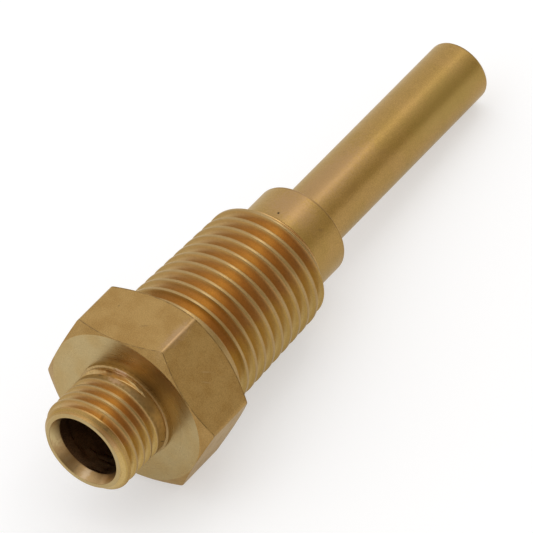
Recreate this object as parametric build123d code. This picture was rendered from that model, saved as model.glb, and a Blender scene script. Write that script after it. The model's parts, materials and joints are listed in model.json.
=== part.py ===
from build123d import *
import math
import os

# A thermowell: one piece of brass hexagon bar, turned, threaded and drilled from its mouth.
# Lengths are in millimetres and angles in degrees. It is made upright, with its mouth at z = 0
# and its closed tip on top, and is then laid down as it comes to rest: on one flat of the
# hexagon and on the rim of its tip. Angles around the axis start at the side that faces down.
# The spigot has the outside diameter of its fine thread, whose grooves are left out.

INCH = 25.4

# Spigot that the sensor's gland screws onto
spigot_length = 6.5
spigot_diameter = 9.48
spigot_mouth_chamfer = 0.72
root_ring_diameter = 9.84
root_ring_width = 0.38
root_relief_width = 0.18
root_relief_depth = 0.14

# Hexagon for the spanner
hexagon_across_flats = 16.0
hexagon_length = 6.45
hexagon_chamfer_angle = 30

# Tapered thread that screws into the pipe, widest at the hexagon
process_thread_diameter = 13.716
process_thread_length = 16.5
process_threads_per_inch = 18
process_taper = 1 / 16
process_thread_gap = 0.65
process_thread_end_angle = 270
process_runout_turns = 0.5
process_flank_angle = 60
process_crest_share = 0.19
process_end_chamfer = 1.2

# Collar and stem
collar_diameter = 9.6
collar_length = 4.3
collar_edge = 0.15
stem_diameter = 6.35
stem_length = 25.85
stem_wall = 0.725
tip_wall = 1.6
tip_chamfer = 0.3

# Bores, drilled from the mouth
head_bore_diameter = 6.7
head_bore_depth = 28.0
mouth_countersink_diameter = 7.32
mouth_countersink_depth = 1.1
drill_point_angle = 118

# How far the threading tool stands clear of the work
tool_clearance = 0.05

# Where each length begins, counted from the mouth
hexagon_start = spigot_length
process_start = hexagon_start + hexagon_length
collar_start = process_start + process_thread_length
stem_start = collar_start + collar_length
overall_length = stem_start + stem_length

# Sizes that follow from the ones above
spigot_radius = spigot_diameter / 2
process_radius = process_thread_diameter / 2
process_slope = process_taper / 2
process_pitch = INCH / process_threads_per_inch
flank_lean = math.tan(math.radians(process_flank_angle / 2))
groove_width = process_pitch * (1 - process_crest_share)
groove_depth = groove_width / 2 / flank_lean
flat_distance = hexagon_across_flats / 2
stem_radius = stem_diameter / 2
sensor_bore_diameter = stem_diameter - 2 * stem_wall


def cylinder(diameter, start, length):
    """Upright cylinder on the axis, standing at the height start."""
    upright = Cylinder(diameter / 2, length, align=(Align.CENTER, Align.CENTER, Align.MIN))
    return Pos(0, 0, start) * upright


def turned(*outline):
    """Solid turned about the axis from an outline of (radius, height) points."""
    section = make_face(Polyline(*outline, close=True))
    return revolve(Plane.XZ * section, Axis.Z)


def groove_corners():
    """Corners of the groove's section, as (distance out from the crest, distance along the axis)."""
    half_mouth = groove_width / 2 + tool_clearance * flank_lean
    return [(-groove_depth, 0), (tool_clearance, half_mouth), (tool_clearance, -half_mouth)]


def helix_band(crest_radius, height, angle, turns, slope):
    """One helix through each corner of the groove's section, right-hand, rising along the axis."""
    cone_angle = math.degrees(math.atan(slope))
    slant_pitch = process_pitch / math.cos(math.radians(cone_angle))
    rise = turns * process_pitch
    band = []
    for out, along in groove_corners():
        start = (0, 0, height + along)
        helix = Edge.make_helix(slant_pitch, rise, crest_radius + out, center=start, angle=cone_angle)
        band.append(helix.rotate(Axis.Z, angle))
    return band


def thread_groove(small_radius):
    """Solid that the process thread leaves empty, with the thread's small end at z = 0.

    It comes in from free air one pitch below z = 0 and follows the taper. Over its last turns it
    lifts out of the work, and it has left it short of the hexagon.
    """
    lead_in = process_pitch
    runout = process_runout_turns * process_pitch
    cut_turns = (process_thread_length - process_thread_gap + lead_in - runout) / process_pitch
    segments = math.ceil(cut_turns)
    lift = groove_depth + tool_clearance + runout * process_slope
    spans = [(cut_turns / segments, process_slope)] * segments
    spans.append((process_runout_turns, lift / runout))

    angle = -process_thread_end_angle - 360 * (cut_turns + process_runout_turns)
    height = -lead_in
    radius = small_radius - lead_in * process_slope
    faces = []
    ends = []
    for turns, slope in spans:
        band = helix_band(radius, height, angle, turns, slope)
        for side, edge in enumerate(band):
            faces.append(Face.make_surface_from_curves(edge, band[(side + 1) % len(band)]))
        ends += [[edge.position_at(0) for edge in band], [edge.position_at(1) for edge in band]]
        angle += 360 * turns
        height += turns * process_pitch
        radius += turns * process_pitch * slope
    for section in (ends[0], ends[-1]):
        faces.append(Face(Wire.make_polygon(section, close=True)))
    return Solid(Shell(faces))


def spigot():
    """Plain spigot, with its chamfered mouth and the relief and ring at its root."""
    ring_radius = root_ring_diameter / 2
    ring_start = spigot_length - root_ring_width
    relief_start = ring_start - root_relief_width
    return turned(
        (0, 0),
        (spigot_radius - spigot_mouth_chamfer, 0),
        (spigot_radius, spigot_mouth_chamfer),
        (spigot_radius, relief_start),
        (spigot_radius - root_relief_depth, ring_start - root_relief_width / 2),
        (ring_radius, ring_start),
        (ring_radius, spigot_length),
        (0, spigot_length),
    )


def hexagon():
    """Length of hexagon bar with both ends turned off at an angle, down to the flats."""
    bar = extrude(RegularPolygon(flat_distance, 6, major_radius=False, rotation=30), hexagon_length)
    corner_reach = flat_distance / math.cos(math.radians(30)) - flat_distance
    drop = corner_reach * math.tan(math.radians(hexagon_chamfer_angle))
    turned_off = turned(
        (0, 0),
        (flat_distance, 0),
        (flat_distance + 2 * corner_reach, 2 * drop),
        (flat_distance + 2 * corner_reach, hexagon_length - 2 * drop),
        (flat_distance, hexagon_length),
        (0, hexagon_length),
    )
    return Pos(0, 0, hexagon_start) * (bar & turned_off)


def process_thread():
    """Tapered thread, chamfered where it enters the pipe and run out short of the hexagon."""
    small_radius = process_radius - process_thread_length * process_slope
    blank = Cone(
        small_radius,
        process_radius,
        process_thread_length,
        align=(Align.CENTER, Align.CENTER, Align.MIN),
    )
    entry_edge = blank.edges().filter_by(GeomType.CIRCLE).sort_by(Axis.Z)[0]
    threaded = chamfer(entry_edge, process_end_chamfer) - thread_groove(small_radius)
    return Pos(0, 0, collar_start) * Rot(180, 0, 0) * threaded


def collar():
    """Plain collar between the thread and the stem."""
    blank = cylinder(collar_diameter, collar_start, collar_length)
    far_edge = blank.edges().filter_by(GeomType.CIRCLE).sort_by(Axis.Z)[-1]
    return chamfer(far_edge, collar_edge)


def stem():
    """Plain stem with its closed, chamfered tip."""
    blank = cylinder(stem_diameter, stem_start, stem_length)
    tip_edge = blank.edges().filter_by(GeomType.CIRCLE).sort_by(Axis.Z)[-1]
    return chamfer(tip_edge, tip_chamfer)


def drilled(diameter, point_height):
    """Hole that a drill leaves from the mouth, with the point of the drill at point_height."""
    radius = diameter / 2
    point_length = radius / math.tan(math.radians(drill_point_angle / 2))
    return turned((0, 0), (radius, 0), (radius, point_height - point_length), (0, point_height))


def bores():
    """Wide head bore and narrow sensor bore, with the countersunk mouth."""
    head_point = head_bore_diameter / 2 / math.tan(math.radians(drill_point_angle / 2))
    head = drilled(head_bore_diameter, head_bore_depth + head_point)
    sensor = drilled(sensor_bore_diameter, overall_length - tip_wall)
    countersink = turned(
        (0, 0),
        (mouth_countersink_diameter / 2, 0),
        (head_bore_diameter / 2, mouth_countersink_depth),
        (0, mouth_countersink_depth),
    )
    return head + sensor + countersink


def rest_tilt():
    """Angle by which the tip lies lower than the mouth, once the well rests on its hexagon.

    It turns about the back edge of the lowest flat until the first of the crest, the collar
    and the rim of the tip meets the floor.
    """
    crest_height = collar_start - process_end_chamfer
    supports = [
        (crest_height, process_radius - (crest_height - process_start) * process_slope),
        (stem_start - collar_edge, collar_diameter / 2),
        (overall_length - tip_chamfer, stem_radius),
        (overall_length, stem_radius - tip_chamfer),
    ]
    tilts = [
        math.atan2(flat_distance - radius, height - process_start) for height, radius in supports
    ]
    return math.degrees(min(tilts))


def laid_down():
    """Place of the lying well: on the floor, with the middle of its length over the origin."""
    tilt = rest_tilt()
    sine, cosine = math.sin(math.radians(tilt)), math.cos(math.radians(tilt))
    mouth_end = -(spigot_radius - spigot_mouth_chamfer) * sine
    tip_end = overall_length * cosine + (stem_radius - tip_chamfer) * sine
    axis_height = process_start * sine + flat_distance * cosine
    return Pos(-(mouth_end + tip_end) / 2, 0, axis_height) * Rot(0, 90 + tilt, 0)


def thermowell():
    """The whole well, as one solid."""
    turned_bar = spigot() + hexagon() + process_thread() + collar() + stem()
    return laid_down() * (turned_bar - bores())


os.makedirs("parts", exist_ok=True)
export_step(thermowell(), "parts/thermowell.step")
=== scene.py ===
import json
import logging
import math
from collections.abc import Callable
from dataclasses import dataclass
from enum import IntEnum
from functools import cached_property

import bmesh
import bpy
from bmesh.types import BMEdge, BMesh
from bpy.types import Mesh, Node, NodeSocket, NodeTree, Object
from mathutils import Matrix, Vector


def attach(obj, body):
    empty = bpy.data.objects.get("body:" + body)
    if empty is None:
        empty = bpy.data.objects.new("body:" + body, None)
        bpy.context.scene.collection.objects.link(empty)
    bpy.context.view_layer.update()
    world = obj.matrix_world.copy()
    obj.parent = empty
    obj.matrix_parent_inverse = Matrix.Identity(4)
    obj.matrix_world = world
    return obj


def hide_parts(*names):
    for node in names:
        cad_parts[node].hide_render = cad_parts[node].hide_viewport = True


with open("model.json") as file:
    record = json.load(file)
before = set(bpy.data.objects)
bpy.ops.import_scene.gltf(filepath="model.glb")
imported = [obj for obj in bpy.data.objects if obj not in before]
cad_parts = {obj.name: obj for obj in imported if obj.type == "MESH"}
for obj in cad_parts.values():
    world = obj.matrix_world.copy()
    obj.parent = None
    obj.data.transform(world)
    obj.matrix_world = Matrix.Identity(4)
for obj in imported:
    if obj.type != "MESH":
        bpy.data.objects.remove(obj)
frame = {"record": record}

# Looks of a brass thermowell: one piece of hexagon bar, turned, threaded and drilled.
# The well is modelled in millimetres about its own axis, with its mouth at height 0 and its tip
# on top, and is then laid where the frame holds it. Angles start at the side that faces down.

LOG = logging.getLogger("thermowell")
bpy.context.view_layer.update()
NODE = "thermowell"
MM = 0.001
COLUMNS = 144  # even columns of faces round the axis
COLUMN_ANGLE = math.tau / COLUMNS
COLUMN_MARGIN = 1e-4  # radians
FLAT_ANGLE = math.pi / 3  # between one flat of the hexagon and the next
MERGE_DISTANCE = 1e-4  # millimetres
SHARP_ANGLE = math.radians(25)  # at edges that turn by more than this, the shading breaks
ARC_STEP = math.radians(20)  # largest turn from one row of a rounded corner to the next
GROOVE_EDGE = 0.02  # share of a groove's depth under which a face lies outside it

Colour = tuple[float, float, float]
Outline = list[tuple[float, float]]


class Surface(IntEnum):
    """Kinds of surface on the well, in the order of its material slots."""

    TURNED = 0
    FACED = 1
    HEXAGON = 2
    THREAD = 3
    COUNTERSINK = 4
    BORE = 5


# Turned outlines


@dataclass(frozen=True)
class Corner:
    """One corner of a turned outline, in millimetres."""

    radius: float
    height: float
    rounding: float = 0.0  # radius of the arc that breaks it


def arc_at(before: Corner, corner: Corner, after: Corner) -> Outline:
    """Points of the arc that rounds a corner.

    Args:
        before: The corner that comes before it.
        corner: The corner to round.
        after: The corner that follows it.

    Returns:
        Points from one end of the arc to the other, or the bare corner if it isn't rounded.
    """
    here = Vector((corner.radius, corner.height))
    if corner.rounding == 0:
        return [tuple(here)]
    arrive = (here - Vector((before.radius, before.height))).normalized()
    leave = (Vector((after.radius, after.height)) - here).normalized()
    turn = arrive.angle_signed(leave)
    reach = corner.rounding * math.tan(abs(turn) / 2)
    steps = max(1, math.ceil(abs(turn) / ARC_STEP))
    side = Vector((arrive.y, -arrive.x)) * math.copysign(1, turn)
    centre = here - arrive * reach + side * corner.rounding
    points = []
    for step in range(steps + 1):
        swept = abs(turn) * step / steps
        spoke = arrive * math.sin(swept) - side * math.cos(swept)
        points.append(tuple(centre + spoke * corner.rounding))
    return points


def rounded(corners: list[Corner]) -> Outline:
    """Turned outline with its corners broken.

    Args:
        corners: The outline's corners, from one end to the other.

    Returns:
        The outline's points, as (radius, height).
    """
    first, last = corners[0], corners[-1]
    points = [(first.radius, first.height)]
    for before, corner, after in zip(corners, corners[1:], corners[2:]):
        points += arc_at(before, corner, after)
    return points + [(last.radius, last.height)]


# The mesh


class WellMesh:
    """The well's surface, gathered section by section into one closed mesh."""

    def __init__(self) -> None:
        """Starts with no faces."""
        self.mesh = bmesh.new()
        self.groove = self.mesh.verts.layers.float.new("groove")

    def add(self, section: BMesh, surface: Surface, plain_below: float = -math.inf) -> None:
        """Takes in a section and frees it.

        Args:
            section: The section's own mesh.
            surface: What kind of surface its faces are.
            plain_below: Height under which a face outside the grooves is simply turned.
        """
        groove = section.verts.layers.float["groove"]
        for face in section.faces:
            outside = max(vert[groove] for vert in face.verts) < GROOVE_EDGE
            plain = outside and face.calc_center_median().z < plain_below
            face.material_index = Surface.TURNED if plain else surface
        carrier = made_mesh("section", section)
        self.mesh.from_mesh(carrier)
        bpy.data.meshes.remove(carrier)

    def turn(self, outline: Outline, surface: Surface) -> None:
        """Adds a section turned about the axis from an outline of (radius, height) points."""
        self.add(spun(outline), surface)

    def closed(self) -> BMesh:
        """The whole surface with its sections joined, facing outwards.

        Returns:
            The closed mesh, with its sharp edges marked.
        """
        bmesh.ops.remove_doubles(self.mesh, verts=self.mesh.verts, dist=MERGE_DISTANCE)
        bmesh.ops.recalc_face_normals(self.mesh, faces=self.mesh.faces)
        loose = [edge for edge in self.mesh.edges if not edge.is_manifold]
        LOG.info("edges that don't join two faces: %d", len(loose))
        for face in self.mesh.faces:
            face.smooth = True
        for edge in self.mesh.edges:
            edge.smooth = edge.is_manifold and edge.calc_face_angle() < SHARP_ANGLE
        return self.mesh


def spun(outline: Outline, rise: float = 0.0) -> BMesh:
    """Spins an outline once round the axis, in even columns.

    Args:
        outline: Points of the outline, as (radius, height).
        rise: How far the spin climbs along the axis in its one turn.

    Returns:
        The new section, whose vertices can note how deep they lie in a groove.
    """
    section = bmesh.new()
    section.verts.layers.float.new("groove")
    rings = [section.verts.new((radius, 0, height)) for radius, height in outline]
    edges = [section.edges.new(pair) for pair in zip(rings, rings[1:])]
    bmesh.ops.spin(
        section, geom=[*rings, *edges], cent=(0, 0, 0), axis=(0, 0, 1), dvec=(0, 0, rise / COLUMNS),
        angle=math.tau, steps=COLUMNS, use_merge=rise == 0,
    )
    bmesh.ops.remove_doubles(section, verts=section.verts, dist=MERGE_DISTANCE)
    return section


def made_mesh(name: str, shape: BMesh) -> Mesh:
    """Turns a shape into a named mesh, and frees it.

    Args:
        name: The mesh's name.
        shape: The shape.

    Returns:
        The new mesh.
    """
    mesh = bpy.data.meshes.new(name)
    shape.to_mesh(mesh)
    shape.free()
    return mesh


def placed(name: str, data: object) -> Object:
    """Puts a mesh, a lamp or a camera into the scene.

    Args:
        name: The object's name.
        data: What the object holds.

    Returns:
        The new object.
    """
    made = bpy.data.objects.new(name, data)
    bpy.context.scene.collection.objects.link(made)
    return made


# Threads


@dataclass(frozen=True)
class Thread:
    """Right-hand thread cut by a pointed tool that lifts out of the work at its end."""

    pitch: float
    crest_radius: float  # at height 0
    slope: float  # growth of that radius with each millimetre of height
    crest_share: float  # width of the crest, as a share of the pitch
    root_radius: float  # rounding at the bottom of the groove
    edge_radius: float  # rounding at the edges of the crest
    end: float  # height where the groove has left the work
    end_angle: float  # angle where it has, in degrees
    inward: int  # 1 if the groove lies above that height, and -1 if it lies below
    runout: float  # turns over which the groove gets shallower before its end
    flank_angle: float = 60.0  # between the two flanks, in degrees
    clearance: float = 0.05  # how far the tool stands clear when it has lifted out
    flank_steps: int = 4  # rows of faces on a flank
    arc_steps: int = 3  # rows of faces on half a root, and on the edge of a crest
    drift: float = 0.0  # how far the groove strays up from its helix near its end
    drift_start: float = 0.0  # height of its middle where it begins to stray
    drift_length: float = 0.35  # height over which the stray grows to its full size
    dwell: float = 0.0  # height that its middle doesn't pass
    calm: float = 0.0  # height above which nothing strays any more
    calm_margin: float = 0.06  # with half a groove's width, height over which the stray fades

    @property
    def lean(self) -> float:
        """Width that one flank takes for each millimetre of depth."""
        return math.tan(math.radians(self.flank_angle / 2))

    @property
    def half_mouth(self) -> float:
        """Half the groove's width between the crests."""
        return self.pitch * (1 - self.crest_share) / 2

    @property
    def steepness(self) -> float:
        """Angle between a flank and the axis, in radians."""
        return math.radians(90 - self.flank_angle / 2)

    @property
    def depth(self) -> float:
        """Depth of the groove."""
        return self.half_mouth / self.lean - self.root_radius

    @property
    def edge(self) -> float:
        """Distance from the groove's middle to where the crest begins to round off."""
        return self.half_mouth + self.edge_radius * math.tan(self.steepness / 2)

    def cut(self, offset: float) -> float:
        """Depth of the full groove beside its middle.

        Args:
            offset: Distance from the groove's middle along the axis.

        Returns:
            How far the surface lies under the crest.
        """
        across = abs(offset)
        if across >= self.edge:
            return 0.0
        if across < self.root_radius * math.sin(self.steepness):
            return self.depth - self.root_radius + math.sqrt(self.root_radius**2 - across**2)
        if across > self.edge - self.edge_radius * math.sin(self.steepness):
            return self.edge_radius - math.sqrt(self.edge_radius**2 - (self.edge - across) ** 2)
        return (self.half_mouth - across) / self.lean

    def offsets(self) -> list[float]:
        """Places of the surface's rows.

        Returns:
            Their distances from the groove's middle along the axis, over one pitch.
        """
        arc = [self.steepness * step / self.arc_steps for step in range(self.arc_steps + 1)]
        root = [self.root_radius * math.sin(angle) for angle in arc]
        edge = [self.edge - self.edge_radius * math.sin(angle) for angle in reversed(arc)]
        steps = range(1, self.flank_steps)
        flank = [root[-1] + (edge[0] - root[-1]) * step / self.flank_steps for step in steps]
        crest = (edge[-1] + self.pitch / 2) / 2
        half = [*root[1:], *flank, *edge, crest]
        return sorted([0.0, self.pitch / 2, *half, *(-offset for offset in half)])

    def offset_at(self, angle: float, height: float) -> float:
        """How far along the axis a point lies from the middle of the nearest groove."""
        along = (height - self.end) / self.pitch - angle / math.tau + self.end_angle / 360
        return (along - round(along)) * self.pitch

    def surface(self, angle: float, height: float) -> tuple[float, float]:
        """Where the threaded surface lies.

        Args:
            angle: Angle around the axis, in radians.
            height: Height along the axis.

        Returns:
            Its radius, and how deep it is cut there as a share of the full groove.
        """
        offset = self.offset_at(angle, height)
        travelled = self.inward * (height - offset - self.end) / self.pitch
        lift = (self.depth + self.clearance) * max(0.0, 1 - travelled / self.runout)
        cut = max(0.0, self.cut(offset) - lift)
        return self.crest_radius + self.slope * height - cut, cut / self.depth

    def strayed(self, angle: float, height: float) -> float:
        """How far up the surface strays from its regular helix.

        Args:
            angle: Angle around the axis, in radians.
            height: Height on the regular helix.

        Returns:
            The distance along the axis.
        """
        if not self.drift:
            return 0.0
        offset = self.offset_at(angle, height)
        middle = height - offset
        past_edge = max(0.0, abs(offset) - self.half_mouth) / (self.pitch / 2 - self.half_mouth)
        neighbour = middle + math.copysign(self.pitch, offset)
        shift = self.stray_of(middle) * (1 - past_edge / 2) + self.stray_of(neighbour) * past_edge / 2
        return shift * min(1.0, max(0.0, (self.calm - height) / (self.half_mouth + self.calm_margin)))

    def stray_of(self, middle: float) -> float:
        """How far up a groove's middle strays.

        Args:
            middle: Its height on the regular helix.

        Returns:
            The distance along the axis. Past the dwell it is that of the groove one pitch lower.
        """
        if middle > self.dwell:
            middle -= self.pitch
        share = min(1.0, max(0.0, (middle - self.drift_start) / self.drift_length))
        eased = share * share * (3 - 2 * share)
        return max(0.0, min(middle + self.drift * eased, self.dwell) - middle)

    def wound(self, bottom: float, top: float, crease: float, limit: Callable[[float], float]) -> BMesh:
        """Threaded surface between two heights, with its rows wound along the helix.

        Args:
            bottom: Lowest height.
            top: Highest height.
            crease: Height in between at which the surface turns sharply.
            limit: Largest radius at a height, given the height.

        Returns:
            The surface as a mesh whose two open ends have one vertex in each column.
        """
        spare = 2  # turns beyond each end, which are cut away
        first_middle = self.end - self.pitch * self.end_angle / 360
        first_turn = math.floor((bottom - first_middle) / self.pitch) - spare
        turns = math.ceil((top - bottom) / self.pitch) + 2 * spare
        rows = [
            (self.crest_radius, first_middle + (first_turn + turn) * self.pitch + offset)
            for turn in range(turns)
            for offset in self.offsets()
        ]
        section = spun(rows, rise=self.pitch)
        groove = section.verts.layers.float["groove"]
        for height in (bottom, crease, top):
            bmesh.ops.bisect_plane(
                section, geom=[*section.verts, *section.edges, *section.faces], dist=MERGE_DISTANCE,
                plane_co=(0, 0, height), plane_no=(0, 0, 1),
                clear_inner=height == bottom, clear_outer=height == top,
            )
        between = [vert for vert in section.verts if vert.is_boundary and self.between_columns(vert.co)]
        bmesh.ops.dissolve_verts(section, verts=between)
        for vert in section.verts:
            angle = math.atan2(vert.co.y, vert.co.x)
            radius, share = self.surface(angle, vert.co.z)
            radius = min(radius, limit(vert.co.z))
            height = vert.co.z + self.strayed(angle, vert.co.z)
            vert.co = (radius * math.cos(angle), radius * math.sin(angle), height)
            vert[groove] = share
        return section

    @staticmethod
    def between_columns(point: Vector) -> bool:
        """Whether a point lies off the columns that all sections share."""
        return abs(math.remainder(math.atan2(point.y, point.x), COLUMN_ANGLE)) > COLUMN_MARGIN


# The well's sections


@dataclass(frozen=True)
class Spigot:
    """Threaded spigot that the sensor's gland screws onto."""

    radius: float = 4.74
    length: float = 6.5
    mouth_chamfer: float = 0.72
    land_start: float = 5.9
    relief_start: float = 5.94
    relief_depth: float = 0.14
    ring_start: float = 6.12
    ring_radius: float = 4.92
    chamfer_start: float = 0.05
    thread: Thread = Thread(
        pitch=25.4 / 24, crest_radius=4.74, slope=0.0, crest_share=0.19, root_radius=0.1, edge_radius=0.05,
        end=5.2652, end_angle=228, inward=-1, runout=0.16, drift=0.45, drift_start=4.72, dwell=5.56, calm=5.9,
    )

    @property
    def rim_radius(self) -> float:
        """Outer radius of the flat rim round the mouth."""
        return self.radius - self.mouth_chamfer

    def build(self, well: WellMesh) -> None:
        """Adds the threaded part, and the land, relief and ring at its root.

        Args:
            well: The mesh to add to.
        """
        section = self.thread.wound(
            self.chamfer_start, self.land_start, self.mouth_chamfer, lambda height: self.rim_radius + height
        )
        well.add(section, Surface.THREAD, plain_below=self.mouth_chamfer)
        root = [
            Corner(self.radius, self.land_start),
            Corner(self.radius, self.relief_start, rounding=0.03),
            Corner(self.radius - self.relief_depth, (self.relief_start + self.ring_start) / 2, rounding=0.02),
            Corner(self.ring_radius, self.ring_start, rounding=0.04),
            Corner(self.ring_radius, self.length),
        ]
        well.turn(rounded(root), Surface.THREAD)


@dataclass(frozen=True)
class Hexagon:
    """Hexagon for the spanner, with both ends turned off at an angle, down to its flats."""

    flat_distance: float = 8.0
    start: float = 6.5
    length: float = 6.45
    chamfer_angle: float = 30.0
    corner_bevel: float = 0.26

    @property
    def end(self) -> float:
        """Height of its far face."""
        return self.start + self.length

    def build(self, well: WellMesh, front_radius: float, back_radius: float) -> None:
        """Adds both faces, the turned-off corners and the flats.

        Args:
            well: The mesh to add to.
            front_radius: Where the front face meets the spigot's ring.
            back_radius: Where the back face meets the thread.
        """
        well.turn([(front_radius, self.start), (self.flat_distance, self.start)], Surface.FACED)
        well.turn([(self.flat_distance, self.end), (back_radius, self.end)], Surface.FACED)
        well.add(self.sides(), Surface.HEXAGON)

    def sides(self) -> BMesh:
        """The six flats with the cones that turn off their corners.

        Returns:
            A band open at both ends, where it is round.
        """
        quarter = self.length / 4
        heights = (self.start, self.start + quarter, self.end - quarter, self.end)
        section = spun([(self.flat_distance, height) for height in heights])
        for vert in section.verts:
            if vert.is_boundary:
                continue
            angle = math.atan2(vert.co.y, vert.co.x)
            reach = self.flat_distance / math.cos(math.remainder(angle, FLAT_ANGLE))
            drop = (reach - self.flat_distance) * math.tan(math.radians(self.chamfer_angle))
            lower = vert.co.z < self.start + self.length / 2
            height = self.start + drop if lower else self.end - drop
            vert.co = (reach * math.cos(angle), reach * math.sin(angle), height)
        corners = [edge for edge in section.edges if self.is_corner(edge)]
        bmesh.ops.bevel(
            section, geom=corners, offset=self.corner_bevel, offset_type="OFFSET", segments=5, profile=0.5,
            affect="EDGES", material=-1,
        )
        return section

    def is_corner(self, edge: BMEdge) -> bool:
        """Tells the edges where two flats meet.

        Args:
            edge: An edge of the band.

        Returns:
            Whether it is one of them.
        """
        middle = (edge.verts[0].co + edge.verts[1].co) / 2
        angle = math.atan2(middle.y, middle.x)
        upright = abs(edge.verts[0].co.z - edge.verts[1].co.z) > self.length / 2
        return upright and abs(math.remainder(angle + FLAT_ANGLE / 2, FLAT_ANGLE)) < COLUMN_ANGLE / 2


@dataclass(frozen=True)
class ProcessThread:
    """Tapered thread that screws into the pipe, widest at the hexagon."""

    start: float = 12.95
    length: float = 16.5
    large_radius: float = 6.858
    taper: float = 1 / 32
    entry_chamfer: float = 1.2
    shoulder: float = 0.05
    pitch: float = 25.4 / 18
    gap: float = 0.65

    @property
    def end(self) -> float:
        """Height where the thread begins to enter the pipe."""
        return self.start + self.length

    @property
    def end_radius(self) -> float:
        """Radius at that end, inside the chamfer."""
        return self.large_radius - self.length * self.taper - self.entry_chamfer

    @property
    def crease(self) -> float:
        """Height where the chamfer meets the crests."""
        return self.end - self.entry_chamfer / (1 + self.taper) - self.taper * self.entry_chamfer

    def thread(self) -> Thread:
        """The thread's form.

        Returns:
            The thread, at its place on the well.
        """
        return Thread(
            pitch=self.pitch, crest_radius=self.large_radius + self.start * self.taper, slope=-self.taper,
            crest_share=0.19, root_radius=0.12, edge_radius=0.06,
            end=self.start + self.gap, end_angle=270, inward=1, runout=0.5,
        )

    def build(self, well: WellMesh) -> None:
        """Adds the threaded part and its chamfer.

        Args:
            well: The mesh to add to.
        """
        bottom, top = self.start + self.shoulder, self.end - self.shoulder
        far = self.end_radius + self.end
        section = self.thread().wound(bottom, top, self.crease, lambda height: far - height)
        well.add(section, Surface.THREAD)
        well.turn([(self.large_radius, self.start), (self.radius_at(bottom), bottom)], Surface.THREAD)

    def radius_at(self, height: float) -> float:
        """Radius over the crests at a height."""
        return self.large_radius - (height - self.start) * self.taper


@dataclass(frozen=True)
class CollarAndStem:
    """Plain collar, and the stem with its closed tip."""

    collar_radius: float = 4.8
    collar_end: float = 33.75
    collar_edge: float = 0.13
    stem_radius: float = 3.175
    stem_fillet: float = 0.08
    tip: float = 59.6
    tip_rounding: float = 0.36

    def build(self, well: WellMesh, process: ProcessThread) -> None:
        """Adds everything from the end of the thread to the tip.

        Args:
            well: The mesh to add to.
            process: The thread that it follows on.
        """
        outline = [
            Corner(process.end_radius + process.shoulder, process.end - process.shoulder),
            Corner(process.end_radius, process.end, rounding=0.02),
            Corner(self.collar_radius, process.end, rounding=0.06),
            Corner(self.collar_radius, self.collar_end, self.collar_edge),
            Corner(self.stem_radius, self.collar_end, self.stem_fillet),
            Corner(self.stem_radius, self.tip, self.tip_rounding),
            Corner(0, self.tip),
        ]
        well.turn(rounded(outline), Surface.TURNED)


@dataclass(frozen=True)
class Bores:
    """Rim of the mouth, its countersink, and the two bores drilled from it."""

    countersink_radius: float = 3.66
    countersink_depth: float = 1.1
    head_radius: float = 3.35
    head_depth: float = 28.0
    sensor_radius: float = 2.45
    bottom: float = 58.0
    point_angle: float = 118.0
    lip: float = 0.04  # share of the countersink's depth that belongs to the rim

    def build(self, well: WellMesh, spigot: Spigot) -> None:
        """Adds everything inside the well, with the rim round its mouth.

        Args:
            well: The mesh to add to.
            spigot: The spigot whose mouth it is.
        """
        slope = math.tan(math.radians(90 - self.point_angle / 2))
        step = (self.head_radius - self.sensor_radius) * slope
        lip_radius = self.countersink_radius - self.lip * (self.countersink_radius - self.head_radius)
        lip_height = self.lip * self.countersink_depth
        rim = [
            Corner(spigot.rim_radius + spigot.chamfer_start, spigot.chamfer_start),
            Corner(spigot.rim_radius, 0, rounding=0.05),
            Corner(self.countersink_radius, 0, rounding=0.02),
            Corner(lip_radius, lip_height),
        ]
        cone = [(lip_radius, lip_height), (self.head_radius, self.countersink_depth)]
        drilled = [
            (self.head_radius, self.countersink_depth),
            (self.head_radius, self.head_depth),
            (self.sensor_radius, self.head_depth + step),
            (self.sensor_radius, self.bottom - self.sensor_radius * slope),
            (0, self.bottom),
        ]
        well.turn(rounded(rim), Surface.FACED)
        well.turn(cone, Surface.COUNTERSINK)
        well.turn(drilled, Surface.BORE)


# Place in the frame


@dataclass(frozen=True)
class Placement:
    """Where the well lies, read from the frame's mount on its process thread."""

    mount: str = "process_thread"

    def matrix(self, process: ProcessThread) -> Matrix:
        """Turns the well's own millimetres into the frame's metres.

        Args:
            process: The thread whose middle the mount marks.

        Returns:
            The place, turn and scale as one matrix.
        """
        found = next(m for m in frame["record"]["mounts"] if m["name"] == self.mount)
        along = Vector(found["axis"]).normalized()
        side = Vector((0, 1, 0))
        down = side.cross(along)
        middle = process.start + process.length / 2
        mouth = Vector(found["pos_m"]) - along * middle * MM
        turned = Matrix((down, side, along)).transposed().to_4x4()
        return Matrix.Translation(mouth) @ turned @ Matrix.Scale(MM, 4)


# Finishes

NOISE_SPAN = (0.3, 0.7)  # where most of a noise pattern's values lie
RING_WANDER = 1.6  # how much a ring's marks change on the way round
SPOT_FADE = (0.7, 1.5)  # distance, as a share of its size, over which a mark or a patch of painted light fades
CREST_TO_FLANK = (0.02, 0.12)  # shares of a groove's depth over which its tint begins
FLANK_TO_ROOT = (0.2, 0.55)  # and over which the flanks' painted shade turns into the root's tint
TINT_WANDER = 0.012  # turns by which the grooves' tints wander
LINE_START = (0.005, 0.02)  # millimetres past a flat's edge over which its thin line begins
LINE_END = (0.07, 0.16)  # and over which it ends
LINE_PATCHES = (0.35, 0.6)  # values of a noise pattern over which the line gets stronger
LINE_STRENGTH = (0.25, 0.75)  # its strength before and after
EDGE_TINT = (1.0, 0.95, 0.80)  # reflection at a grazing angle


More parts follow.
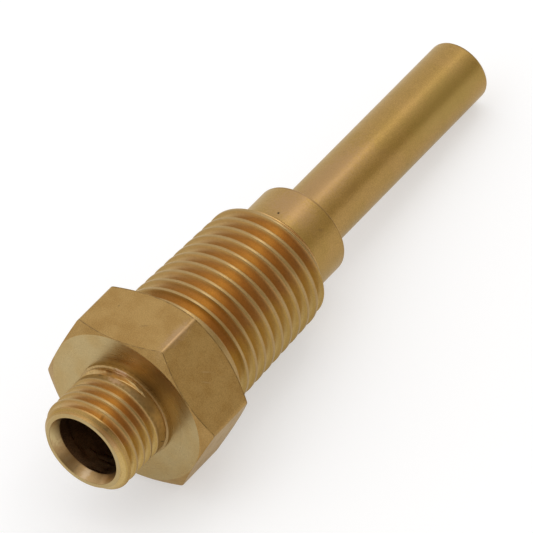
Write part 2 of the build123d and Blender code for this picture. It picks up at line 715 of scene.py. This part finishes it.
class Nodes:
    """Shorthand for adding and linking the nodes of one tree."""

    def __init__(self, tree: NodeTree) -> None:
        """Works on the tree of a material, a world or a group."""
        self.tree = tree

    def add(self, kind: str, inputs: dict | None = None, **settings: object) -> Node:
        """Adds a node.

        Args:
            kind: The node's type.
            inputs: What each named or numbered input gets: a value, or a socket to link.
            settings: The node's own settings.

        Returns:
            The new node.
        """
        node = self.tree.nodes.new(kind)
        for name, value in settings.items():
            setattr(node, name, value)
        for name, value in (inputs or {}).items():
            self.feed(node.inputs[name], value)
        return node

    def feed(self, socket: NodeSocket, value: object) -> None:
        """Sets an input to a value or a colour, or links it to a socket.

        Args:
            socket: The input.
            value: The value, the colour or the socket.
        """
        if isinstance(value, NodeSocket):
            self.tree.links.new(value, socket)
        elif socket.type == "RGBA":
            socket.default_value = (*value, 1)
        else:
            socket.default_value = value

    def math(self, operation: str, *values: object) -> NodeSocket:
        """Result of a Math node on one to three values or sockets."""
        return self.add("ShaderNodeMath", dict(enumerate(values)), operation=operation).outputs[0]

    def mix(self, share: object, first: object, second: object, mode: str = "MIX") -> NodeSocket:
        """Colour between two colours, by a share."""
        inputs = {0: share, 6: first, 7: second}
        return self.add("ShaderNodeMix", inputs, data_type="RGBA", blend_type=mode).outputs[2]

    def ramp(self, value: object, low: float, high: float, start: float = 0, end: float = 1) -> NodeSocket:
        """Value carried smoothly from low..high to start..end, and held at both ends."""
        inputs = {0: value, 1: low, 2: high, 3: start, 4: end}
        return self.add("ShaderNodeMapRange", inputs, interpolation_type="SMOOTHSTEP").outputs[0]

    def group(self, tree: NodeTree, **inputs: float) -> bpy.types.bpy_prop_collection:
        """Outputs of a node group that is given some inputs."""
        return self.add("ShaderNodeGroup", inputs, node_tree=tree).outputs

    def vector(self, along: object, across: object, depth: object) -> NodeSocket:
        """Vector made of three values or sockets."""
        return self.add("ShaderNodeCombineXYZ", {0: along, 1: across, 2: depth}).outputs[0]

    def noise(self, vector: object, scale: float, detail: float = 2.0, rough: float = 0.5) -> NodeSocket:
        """Value of a noise pattern, from 0 to 1."""
        inputs = {"Vector": vector, "Scale": scale, "Detail": detail, "Roughness": rough}
        return self.add("ShaderNodeTexNoise", inputs).outputs[0]

    def bump(self, height: NodeSocket, distance: float, **below: NodeSocket) -> NodeSocket:
        """Normal of a surface with bumps of some metres, over the Normal below it if one is given."""
        inputs = {"Height": height, "Distance": distance, "Strength": 1.0, **below}
        return self.add("ShaderNodeBump", inputs).outputs[0]

    @cached_property
    def rays(self) -> bpy.types.bpy_prop_collection:
        """Whether a ray is of one kind or another."""
        return self.add("ShaderNodeLightPath").outputs

    def mirrored(self) -> NodeSocket:
        """Whether a ray comes off a shiny surface or through a clear one."""
        return self.math("MAXIMUM", self.rays["Is Glossy Ray"], self.rays["Is Transmission Ray"])


class Group(Nodes):
    """One node group, with numbers for its inputs."""

    def __init__(self, name: str, **inputs: float) -> None:
        """Starts the group.

        Args:
            name: The group's name.
            inputs: Each number that it takes, with its usual value.
        """
        super().__init__(bpy.data.node_groups.new(name, "ShaderNodeTree"))
        for label, value in inputs.items():
            taken = self.tree.interface.new_socket(label, in_out="INPUT", socket_type="NodeSocketFloat")
            taken.default_value = value
        self.given = self.add("NodeGroupInput").outputs

    def put(self, **results: NodeSocket) -> NodeTree:
        """Puts results out.

        Args:
            results: The results, under the names of their sockets.

        Returns:
            The finished group.
        """
        for label, result in results.items():
            kind = "NodeSocketVector" if result.type == "VECTOR" else "NodeSocketFloat"
            self.tree.interface.new_socket(label, in_out="OUTPUT", socket_type=kind)
        self.add("NodeGroupOutput", results)
        return self.tree


class Effects:
    """Node groups that the finishes share, each built once."""

    def __init__(self, place: Matrix) -> None:
        """Builds the groups.

        Args:
            place: Where the well lies.
        """
        self.axes = self.well_axes(place)
        self.marks = self.tool_marks()
        self.patina = self.uneven_tint()
        self.mark_or_light = self.small_mark()

    def well_axes(self, place: Matrix) -> NodeTree:
        """Group that gives a point's place about the well's axis, in millimetres and radians.

        Args:
            place: Where the well lies.

        Returns:
            The group, with the outputs Point, Along, Radius and Angle.
        """
        nodes = Group("well axes")
        back = place.inverted()
        seen = nodes.add("ShaderNodeTexCoord").outputs["Object"]
        turned = {"Location": back.translation, "Rotation": back.to_euler(), "Scale": back.to_scale()}
        point = nodes.add("ShaderNodeMapping", {"Vector": seen} | turned).outputs[0]
        parts = nodes.add("ShaderNodeSeparateXYZ", {0: point}).outputs
        squares = nodes.math("ADD", nodes.math("POWER", parts[0], 2.0), nodes.math("POWER", parts[1], 2.0))
        radius = nodes.math("SQRT", squares)
        angle = nodes.math("WRAP", nodes.math("ARCTAN2", parts[1], parts[0]), math.tau, 0.0)
        return nodes.put(Point=point, Along=parts[2], Radius=radius, Angle=angle)

    def tool_marks(self) -> NodeTree:
        """Group for the rings that a turning tool leaves.

        Returns:
            The group: Fineness is in rings per millimetre, and Marks is from 0 to 1.
        """
        nodes = Group("tool marks", Fineness=8.0)
        place, fineness = nodes.group(self.axes), nodes.given["Fineness"]
        along = nodes.math("MULTIPLY", place["Along"], fineness)
        outwards = nodes.math("MULTIPLY", place["Radius"], fineness)
        round_it = nodes.math("MULTIPLY", nodes.math("SINE", place["Angle"]), RING_WANDER)
        sweep = nodes.vector(along, outwards, round_it)
        return nodes.put(Marks=nodes.noise(sweep, scale=1.0, detail=3.0, rough=0.6))

    def uneven_tint(self) -> NodeTree:
        """Group for the uneven tint of handled brass.

        Returns:
            The group: Size is in patches per millimetre, and Patina and Grain are from 0 to 1.
        """
        nodes = Group("patina", Size=0.4)
        point = nodes.group(self.axes)["Point"]
        inputs = {0: point, "Scale": nodes.given["Size"]}
        scaled = nodes.add("ShaderNodeVectorMath", inputs, operation="SCALE").outputs[0]
        patches = nodes.noise(scaled, scale=1.0, detail=3.0)
        patina = nodes.ramp(patches, low=0.35, high=0.7)
        return nodes.put(Patina=patina, Grain=nodes.noise(point, scale=9.0))

    def small_mark(self) -> NodeTree:
        """Group for one small spot on the well, for a mark or a patch of painted light.

        Returns:
            The group: it takes the mark's height, angle, half its length along its own line, half
            its width, and the lean of that line, and Mark is from 0 to 1.
        """
        nodes = Group("mark_or_light", Height=0.0, Angle=0.0, Reach=0.3, Breadth=0.1, Lean=0.0)
        place, given = nodes.group(self.axes), nodes.given
        up = nodes.math("SUBTRACT", place["Along"], given["Height"])
        swung = nodes.math("SUBTRACT", place["Angle"], given["Angle"])
        side = nodes.math("MULTIPLY", swung, place["Radius"])
        sine, cosine = nodes.math("SINE", given["Lean"]), nodes.math("COSINE", given["Lean"])
        forward = nodes.math("MULTIPLY_ADD", side, sine, nodes.math("MULTIPLY", up, cosine))
        sideways, upwards = nodes.math("MULTIPLY", side, cosine), nodes.math("MULTIPLY", up, sine)
        across = nodes.math("SUBTRACT", sideways, upwards)
        long_share = nodes.math("DIVIDE", forward, given["Reach"])
        wide_share = nodes.math("DIVIDE", across, given["Breadth"])
        length = nodes.math("MULTIPLY", long_share, long_share)
        distance = nodes.math("SQRT", nodes.math("MULTIPLY_ADD", wide_share, wide_share, length))
        ragged = nodes.math("ADD", distance, nodes.noise(place["Point"], scale=4.0))
        return nodes.put(Mark=nodes.ramp(ragged, *SPOT_FADE, start=1.0, end=0.0))


@dataclass(frozen=True)
class MarkOrPaintedLight:
    """One small mark on the brass, or a small patch of painted highlight, reflection or shade on it."""

    height: float  # from the mouth, in millimetres
    angle: float  # around the axis, in degrees
    colour: Colour
    strength: float  # how much of that colour shows
    reach: float  # half its length, in millimetres
    breadth: float  # half its width, in millimetres
    lean: float = 0.0  # turn of its length away from the axis, in degrees


@dataclass(frozen=True)
class BrassFinish:
    """One finish of the brass."""

    name: str
    colour: Colour  # reflected where the brass is clean
    tarnish: Colour  # reflected where it is tinted
    tarnish_share: float  # how much of the tint shows
    mottling: float  # how far the grain lightens and darkens the colour
    roughness: float
    roughness_spread: float  # how far the tool marks move the roughness up and down
    mark_fineness: float  # tool marks per millimetre
    mark_height: float  # of the tool marks, in metres
    patch_size: float  # patches of tint per millimetre
    grain_height: float  # of the fine grain, in metres
    step_slope: float = 0.0  # how far the cutter's steps lean the surface towards the mouth
    groove_tints_and_painted_light: tuple[tuple[float, Colour], ...] = ()  # at degrees around the axis: the grooves' tint, with painted highlight, shade and reflection
    flank_shade: Colour = (1.0, 1.0, 1.0)  # painted shade: share of those tints kept by flanks near a crest
    # small marks, and patches of painted highlight, reflection and shade
    marks_and_painted_light: tuple[MarkOrPaintedLight, ...] = ()
    corner_line: Colour | None = None  # where a flat meets a turned-off corner


class BrassShader(Nodes):
    """The material of one finish."""

    def __init__(self, finish: BrassFinish, effects: Effects) -> None:
        """Builds the material.

        Args:
            finish: What it looks like.
            effects: The groups that the finishes share.
        """
        self.material = bpy.data.materials.new(finish.name)
        self.material.use_nodes = True
        self.material.node_tree.nodes.clear()
        super().__init__(self.material.node_tree)
        self.finish = finish
        self.effects = effects
        self.rings = self.group(effects.marks, Fineness=finish.mark_fineness)["Marks"]
        self.uneven = self.group(effects.patina, Size=finish.patch_size)
        inputs = {
            "Base Color": self.tinted(),
            "Metallic": 1.0,
            "Roughness": self.spread_over(self.rings, finish.roughness, finish.roughness_spread),
            "Specular Tint": EDGE_TINT,
            "Normal": self.relief(),
        }
        shader = self.add("ShaderNodeBsdfPrincipled", inputs)
        self.add("ShaderNodeOutputMaterial", {"Surface": shader.outputs[0]})

    @cached_property
    def place(self) -> bpy.types.bpy_prop_collection:
        """Where a point lies about the well's axis."""
        return self.group(self.effects.axes)

    def spread_over(self, noise: NodeSocket, middle: float, reach: float) -> NodeSocket:
        """Value that a noise pattern moves up and down from its middle."""
        return self.ramp(noise, *NOISE_SPAN, middle - reach, middle + reach)

    def relief(self) -> NodeSocket:
        """Bumps of the tool marks, the cutter's steps and the fine grain.

        Returns:
            The normal.
        """
        normal = self.bump(self.rings, self.finish.mark_height)
        if self.finish.step_slope:
            normal = self.bump(self.place["Along"], self.finish.step_slope * MM, Normal=normal)
        return self.bump(self.uneven["Grain"], self.finish.grain_height, Normal=normal)

    def tinted(self) -> NodeSocket:
        """Colour of the brass with its tarnish, its grain and its marks, and its painted highlights,
        reflections and shade.

        Returns:
            The colour.
        """
        finish = self.finish
        share = self.math("MULTIPLY", self.uneven["Patina"], finish.tarnish_share)
        colour = self.mix(share, finish.colour, finish.tarnish)
        # grooves: tint with painted highlight and shade round the axis, and painted shade on flanks near a
        # crest
        if finish.groove_tints_and_painted_light:
            cut = self.add("ShaderNodeAttribute", attribute_name="groove").outputs["Fac"]
            deep = self.groove_tint_and_painted_light()
            shaded_flank = self.mix(1.0, deep, finish.flank_shade, mode="MULTIPLY")
            tint = self.mix(self.ramp(cut, *FLANK_TO_ROOT), shaded_flank, deep)
            colour = self.mix(self.ramp(cut, *CREST_TO_FLANK), colour, tint)
        light = self.spread_over(self.uneven["Grain"], 1.0, finish.mottling)
        shades = self.add("ShaderNodeCombineColor", {0: light, 1: light, 2: light}).outputs[0]
        colour = self.mix(1.0, colour, shades, mode="MULTIPLY")
        if finish.corner_line:
            colour = self.mix(self.beside_corner(), colour, finish.corner_line)
        for mark_or_light in finish.marks_and_painted_light:
            colour = self.mix(self.mark_of(mark_or_light), colour, mark_or_light.colour)
        return colour

    def mark_of(self, mark_or_light: MarkOrPaintedLight) -> NodeSocket:
        """Where a mark or a patch of painted light shows, and how much.

        Args:
            mark_or_light: The mark, or the patch of painted light.

        Returns:
            A value from 0 to its strength.
        """
        mark = self.group(
            self.effects.mark_or_light,
            Height=mark_or_light.height, Angle=math.radians(mark_or_light.angle),
            Reach=mark_or_light.reach, Breadth=mark_or_light.breadth, Lean=math.radians(mark_or_light.lean),
        )["Mark"]
        return self.math("MULTIPLY", mark, mark_or_light.strength)

    def beside_corner(self) -> NodeSocket:
        """Thin, broken line along the edge where a flat meets a turned-off corner.

        Returns:
            How much of the line shows.
        """
        hexagon = Hexagon()
        lean = math.tan(math.radians(hexagon.chamfer_angle))
        half = hexagon.length / 2
        from_middle = self.math("ABSOLUTE", self.math("SUBTRACT", self.place["Along"], hexagon.start + half))
        from_end = self.math("SUBTRACT", half, from_middle)
        drop = self.math("MULTIPLY", self.math("SUBTRACT", self.place["Radius"], hexagon.flat_distance), lean)
        past = self.math("SUBTRACT", from_end, drop)
        patches = self.noise(self.place["Point"], scale=1.5, detail=3.0)
        broken = self.ramp(patches, *LINE_PATCHES, *LINE_STRENGTH)
        line = self.math("MULTIPLY", self.ramp(past, *LINE_START), self.ramp(past, *LINE_END, 1, 0))
        return self.math("MULTIPLY", line, broken)

    def groove_tint_and_painted_light(self) -> NodeSocket:
        """Tint of the grooves around the axis, with painted highlight, reflection and shade.

        Returns:
            The colour.
        """
        patches = self.noise(self.place["Point"], scale=0.8, detail=3.0)
        wander = self.spread_over(patches, 0.0, TINT_WANDER)
        turn = self.math("MULTIPLY_ADD", self.place["Angle"], 1 / math.tau, wander)
        node = self.add("ShaderNodeValToRGB", {0: turn})
        stops = node.color_ramp.elements
        for index, (angle, tint) in enumerate(self.finish.groove_tints_and_painted_light):
            stop = stops[index] if index < len(stops) else stops.new(1.0)
            stop.position = angle / 360
            stop.color = (*tint, 1)
        return node.outputs[0]


STAIN = (0.076, 0.048, 0.024)
BROWN = (0.214, 0.129, 0.057)
AMBER = (0.333, 0.200, 0.067)
# painted sheen: pink of the brass where the highlight falls
PAINTED_ROSY_SHEEN = (0.410, 0.252, 0.133)
SCRATCH = (0.429, 0.295, 0.143)
# painted highlight colour
PAINTED_ROSE_HIGHLIGHT = (0.640, 0.470, 0.330)
FINISHES = {
    Surface.TURNED: BrassFinish(
        name="turned_brass_finish",
        colour=(0.381, 0.233, 0.076), tarnish=(0.355, 0.221, 0.062), tarnish_share=0.9, mottling=0.12,
        roughness=0.35, roughness_spread=0.03,
        mark_fineness=9.0, mark_height=2e-6, patch_size=0.33, grain_height=3e-6,
        marks_and_painted_light=(
            # painted shade: dark lines round the collar's end and along the tip's rounding
            MarkOrPaintedLight(33.58, 200, BROWN, 0.7, reach=9.0, breadth=0.10, lean=90),
            MarkOrPaintedLight(59.42, 200, BROWN, 0.8, reach=7.0, breadth=0.14, lean=90),
            MarkOrPaintedLight(41.8, 172, BROWN, 0.5, reach=0.3, breadth=0.12, lean=30),
            MarkOrPaintedLight(31.9, 232, BROWN, 0.35, reach=0.35, breadth=0.2, lean=60),
            # painted sheen: rosy bands on the top side of the stem and collar, round the highlight; then a
            # painted olive cast beside it towards the tip
            MarkOrPaintedLight(37.5, 184, PAINTED_ROSY_SHEEN, 0.55, reach=9.0, breadth=2.4),
            MarkOrPaintedLight(31.6, 190, PAINTED_ROSY_SHEEN, 0.45, reach=2.4, breadth=3.6),
            MarkOrPaintedLight(54.0, 238, (0.343, 0.238, 0.067), 0.6, reach=9.0, breadth=2.6),
            MarkOrPaintedLight(44.0, 222, AMBER, 0.5, reach=1.0, breadth=0.4, lean=12),
            MarkOrPaintedLight(39.0, 228, AMBER, 0.5, reach=1.3, breadth=0.5, lean=-8),
            MarkOrPaintedLight(0.30, 218, BROWN, 0.75, reach=0.45, breadth=0.30, lean=60),
            MarkOrPaintedLight(0.35, 245, BROWN, 0.35, reach=0.25, breadth=0.2, lean=20),
            MarkOrPaintedLight(30.38, 185, (0.024, 0.014, 0.010), 1.0, reach=0.19, breadth=0.17),
        ),
    ),
    Surface.FACED: BrassFinish(
        name="faced_brass_finish",
        colour=(0.443, 0.332, 0.160), tarnish=(0.419, 0.288, 0.118), tarnish_share=0.8, mottling=0.06,
        roughness=0.31, roughness_spread=0.05,
        mark_fineness=10.0, mark_height=4e-6, patch_size=0.3, grain_height=3e-6,
        # painted reflection: warm sector on the front face where the spigot is mirrored
        marks_and_painted_light=(MarkOrPaintedLight(6.5, 212, (0.460, 0.300, 0.118), 0.6, reach=1.0, breadth=4.6),),
    ),
    Surface.HEXAGON: BrassFinish(
        name="hexagon_brass_finish",
        colour=(0.390, 0.243, 0.086), tarnish=(0.324, 0.186, 0.057), tarnish_share=0.75, mottling=0.13,
        roughness=0.39, roughness_spread=0.04,
        mark_fineness=3.0, mark_height=1e-6, patch_size=0.55, grain_height=8e-6,
        corner_line=(0.143, 0.090, 0.038),
        marks_and_painted_light=(
            # pale band along the corner at 209 degrees: partly a rubbed edge, partly a painted highlight
            MarkOrPaintedLight(9.7, 209, (0.419, 0.271, 0.148), 0.7, reach=3.4, breadth=0.75),
            MarkOrPaintedLight(9.3, 188, STAIN, 0.35, reach=0.5, breadth=0.14, lean=50),
            MarkOrPaintedLight(10.4, 163, STAIN, 0.35, reach=0.22, breadth=0.12, lean=10),
            MarkOrPaintedLight(10.2, 238, SCRATCH, 0.45, reach=0.9, breadth=0.10, lean=38),
            MarkOrPaintedLight(9.6, 243, SCRATCH, 0.45, reach=0.7, breadth=0.09, lean=44),
        ),
    ),
    Surface.THREAD: BrassFinish(
        name="threaded_brass_finish",
        colour=(0.372, 0.250, 0.110), tarnish=(0.355, 0.225, 0.086), tarnish_share=0.6, mottling=0.09,
        roughness=0.34, roughness_spread=0.04,
        mark_fineness=12.0, mark_height=1.5e-6, patch_size=0.6, grain_height=2e-6,
        # grooves' tint round the axis, with a painted highlight at 202 degrees, painted shade from 212 to 240
        # and a painted olive reflection from 253 on
        groove_tints_and_painted_light=(
            (140, (0.470, 0.325, 0.145)), (163, (0.480, 0.300, 0.130)),
            (188, (0.540, 0.335, 0.132)), (202, (0.610, 0.390, 0.148)),
            (216, (0.550, 0.328, 0.128)), (240, (0.510, 0.314, 0.138)),
            (253, (0.520, 0.355, 0.130)), (280, (0.540, 0.380, 0.145)),
        ),
        # painted shade on the flanks near a crest
        flank_shade=(0.81, 0.75, 0.60),
        marks_and_painted_light=(
            # painted highlight: paler band round the thread's end and the land beside the hexagon
            MarkOrPaintedLight(5.55, 212, (0.66, 0.455, 0.20), 0.8, reach=9.0, breadth=1.1, lean=90),
            MarkOrPaintedLight(5.52, 285.5, STAIN, 1.0, reach=0.60, breadth=0.10, lean=43),
            MarkOrPaintedLight(5.15, 167, (0.190, 0.129, 0.095), 0.75, reach=0.40, breadth=0.36),
            MarkOrPaintedLight(4.98, 262, STAIN, 0.5, reach=1.4, breadth=0.05, lean=88),
            # painted shade: dark line in the step up to the ring
            MarkOrPaintedLight(6.12, 240, BROWN, 0.7, reach=6.0, breadth=0.05, lean=90),
            MarkOrPaintedLight(5.3, 238, (0.295, 0.200, 0.114), 0.5, reach=0.7, breadth=0.5, lean=70),
            MarkOrPaintedLight(1.15, 206, BROWN, 0.6, reach=0.25, breadth=0.2),
            # painted highlights: pale rose patches on the thread's end and the land
            MarkOrPaintedLight(5.0, 187, PAINTED_ROSE_HIGHLIGHT, 0.9, reach=0.45, breadth=1.1),
            MarkOrPaintedLight(6.0, 186, PAINTED_ROSE_HIGHLIGHT, 0.85, reach=0.30, breadth=1.1),
        ),
    ),
    Surface.COUNTERSINK: BrassFinish(
        name="countersink_brass_finish",
        colour=(0.410, 0.268, 0.122), tarnish=(0.392, 0.243, 0.100), tarnish_share=0.6, mottling=0.06,
        roughness=0.36, roughness_spread=0.05, step_slope=0.30,
        mark_fineness=8.0, mark_height=2e-6, patch_size=1.4, grain_height=4e-6,
        marks_and_painted_light=(
            # radial streaks of the drill's chatter, with painted brightness: painted highlights at 10, 45 and
            # 335 degrees, painted shade at 28; the broad patch at 98 degrees is painted light on the wall
            MarkOrPaintedLight(0.6, 10, (0.526, 0.389, 0.237), 0.9, reach=1.2, breadth=0.55),
            MarkOrPaintedLight(0.6, 45, (0.430, 0.300, 0.150), 0.7, reach=1.2, breadth=0.30),
            MarkOrPaintedLight(0.6, 28, (0.330, 0.225, 0.110), 0.6, reach=1.2, breadth=0.12),
            MarkOrPaintedLight(0.6, 335, (0.560, 0.370, 0.180), 0.7, reach=1.2, breadth=0.6),
            MarkOrPaintedLight(0.6, 98, (0.620, 0.490, 0.245), 0.9, reach=1.6, breadth=2.3),
        ),
    ),
    Surface.BORE: BrassFinish(
        name="drilled_brass_finish",
        colour=(0.323, 0.208, 0.115), tarnish=(0.185, 0.115, 0.062), tarnish_share=0.8, mottling=0.25,
        roughness=0.36, roughness_spread=0.10,
        mark_fineness=4.0, mark_height=9e-6, patch_size=0.7, grain_height=2e-6,
    ),
}


# Studio

WHITE = (1, 1, 1)


def towards(azimuth: float, elevation: float) -> Vector:
    """Direction given by its azimuth from +X towards +Y and its elevation, in degrees."""
    turn, rise = math.radians(azimuth), math.radians(elevation)
    return Vector((math.cos(turn) * math.cos(rise), math.sin(turn) * math.cos(rise), math.sin(rise)))


@dataclass(frozen=True)
class Patch:
    """Soft-edged patch of the room that is brighter or darker than the rest, in degrees."""

    azimuth: float  # of its middle, from +X towards +Y
    elevation: float  # of its middle, above the horizon
    spread: float  # from its middle to its edge
    colour: Colour  # in its middle


@dataclass(frozen=True)
class Studio:
    """Pale floor, soft lamp, room and camera, in metres and degrees."""

    floor_size: float = 6.0
    floor_colour: Colour = (0.55, 0.55, 0.55)
    floor_glow: float = 0.50
    room_colour: Colour = (0.97, 0.97, 1.0)
    patches: tuple[Patch, ...] = (
        Patch(azimuth=0, elevation=90, spread=50, colour=(1.47, 1.47, 1.47)),
        Patch(azimuth=-56, elevation=-2, spread=60, colour=(0.525, 0.47, 0.325)),
        Patch(azimuth=-134, elevation=42, spread=46, colour=(0.19, 0.15, 0.105)),
    )
    aim: tuple[float, float, float] = (-0.0018911, -0.0003284, 0.0067205)
    camera_azimuth: float = -135.7397
    camera_elevation: float = 45.0742
    camera_roll: float = -13.513
    camera_distance: float = 0.614787
    camera_lens: float = 459.088
    camera_sensor: float = 36.0
    camera_clip: tuple[float, float] = (0.01, 20.0)
    lamp_azimuth: float = -4
    lamp_elevation: float = 49
    lamp_distance: float = 0.9
    lamp_size: float = 0.2
    lamp_power: float = 0.36

    def build(self) -> None:
        """Sets up the whole studio."""
        self.build_floor()
        self.build_room()
        self.build_camera()
        self.build_lamp()
        bpy.context.scene.view_settings.view_transform = "Standard"

    def build_floor(self) -> None:
        """Lays the floor that the well rests on."""
        sheet = bmesh.new()
        bmesh.ops.create_grid(sheet, x_segments=1, y_segments=1, size=self.floor_size / 2)
        floor = placed("floor", made_mesh("floor", sheet))
        paint = bpy.data.materials.new("floor_paint")
        paint.use_nodes = True
        nodes = Nodes(paint.node_tree)
        seen = nodes.math("MAXIMUM", nodes.rays["Is Camera Ray"], nodes.mirrored())
        look = {
            "Base Color": self.floor_colour,
            "Roughness": 1.0,
            "Specular IOR Level": 0.0,
            "Emission Color": WHITE,
            "Emission Strength": nodes.math("MULTIPLY", seen, self.floor_glow),
        }
        for name, value in look.items():
            nodes.feed(paint.node_tree.nodes["Principled BSDF"].inputs[name], value)
        floor.data.materials.append(paint)

    def build_room(self) -> None:
        """Lights the room from all round, with its brighter and darker patches."""
        world = bpy.data.worlds.new("room")
        world.use_nodes = True
        world.node_tree.nodes.clear()
        bpy.context.scene.world = world
        nodes = Nodes(world.node_tree)
        direction = nodes.add("ShaderNodeTexCoord").outputs["Generated"]
        glow = nodes.mix(nodes.mirrored(), self.room_colour, WHITE)
        for patch in self.patches:
            inputs = {0: direction, 1: towards(patch.azimuth, patch.elevation)}
            facing = nodes.add("ShaderNodeVectorMath", inputs, operation="DOT_PRODUCT").outputs["Value"]
            share = nodes.ramp(facing, math.cos(math.radians(patch.spread)), 1.0)
            glow = nodes.mix(share, glow, patch.colour)
        colour = nodes.mix(nodes.rays["Is Camera Ray"], glow, WHITE)
        background = nodes.add("ShaderNodeBackground", {"Color": colour, "Strength": 1.0})
        nodes.add("ShaderNodeOutputWorld", {"Surface": background.outputs[0]})

    def build_camera(self) -> None:
        """Sets the camera up, facing the well."""
        back = towards(self.camera_azimuth, self.camera_elevation)
        level = back.to_track_quat("Z", "Y").to_matrix().to_4x4()
        roll = Matrix.Rotation(math.radians(self.camera_roll), 4, "Z")
        data = bpy.data.cameras.new("camera")
        data.lens = self.camera_lens
        data.sensor_width = self.camera_sensor
        data.clip_start, data.clip_end = self.camera_clip
        camera = placed("camera", data)
        place = Matrix.Translation(Vector(self.aim) + back * self.camera_distance)
        camera.matrix_world = place @ level @ roll
        bpy.context.scene.camera = camera

    def build_lamp(self) -> None:
        """Sets the square soft lamp up, facing the well."""
        away = towards(self.lamp_azimuth, self.lamp_elevation)
        data = bpy.data.lights.new("key_softbox", "AREA")
        data.energy = self.lamp_power
        data.size = self.lamp_size
        lamp = placed("key_softbox", data)
        lamp.location = Vector(self.aim) + away * self.lamp_distance
        lamp.rotation_euler = away.to_track_quat("Z", "Y").to_euler()


# The piece


@dataclass(frozen=True)
class Thermowell:
    """The whole well as one dressed piece."""

    spigot: Spigot = Spigot()
    hexagon: Hexagon = Hexagon()
    process: ProcessThread = ProcessThread()
    stem: CollarAndStem = CollarAndStem()
    bores: Bores = Bores()
    placement: Placement = Placement()

    def build(self) -> Object:
        """Models the well, dresses it and hands it to the frame.

        Returns:
            The piece that stands for the solid.
        """
        well = WellMesh()
        self.bores.build(well, self.spigot)
        self.spigot.build(well)
        self.hexagon.build(well, self.spigot.ring_radius, self.process.large_radius)
        self.process.build(well)
        self.stem.build(well, self.process)
        surface = well.closed()
        place = self.placement.matrix(self.process)
        bmesh.ops.transform(surface, matrix=place, verts=surface.verts)
        piece = placed("brass_well", made_mesh("brass_well", surface))
        effects = Effects(place)
        for kind in Surface:
            piece.data.materials.append(BrassShader(FINISHES[kind], effects).material)
        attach(piece, "root")
        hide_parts(NODE)
        return piece


def main() -> None:
    """Builds the well and its studio, and notes the sizes."""
    logging.basicConfig(level=logging.INFO, format="%(name)s: %(message)s")
    Studio().build()
    piece = Thermowell().build()
    triangles = sum(len(polygon.vertices) - 2 for polygon in piece.data.polygons)
    LOG.info("%s: %d triangles, %d finishes", piece.name, triangles, len(piece.data.materials))


if __name__ == "__main__":
    main()
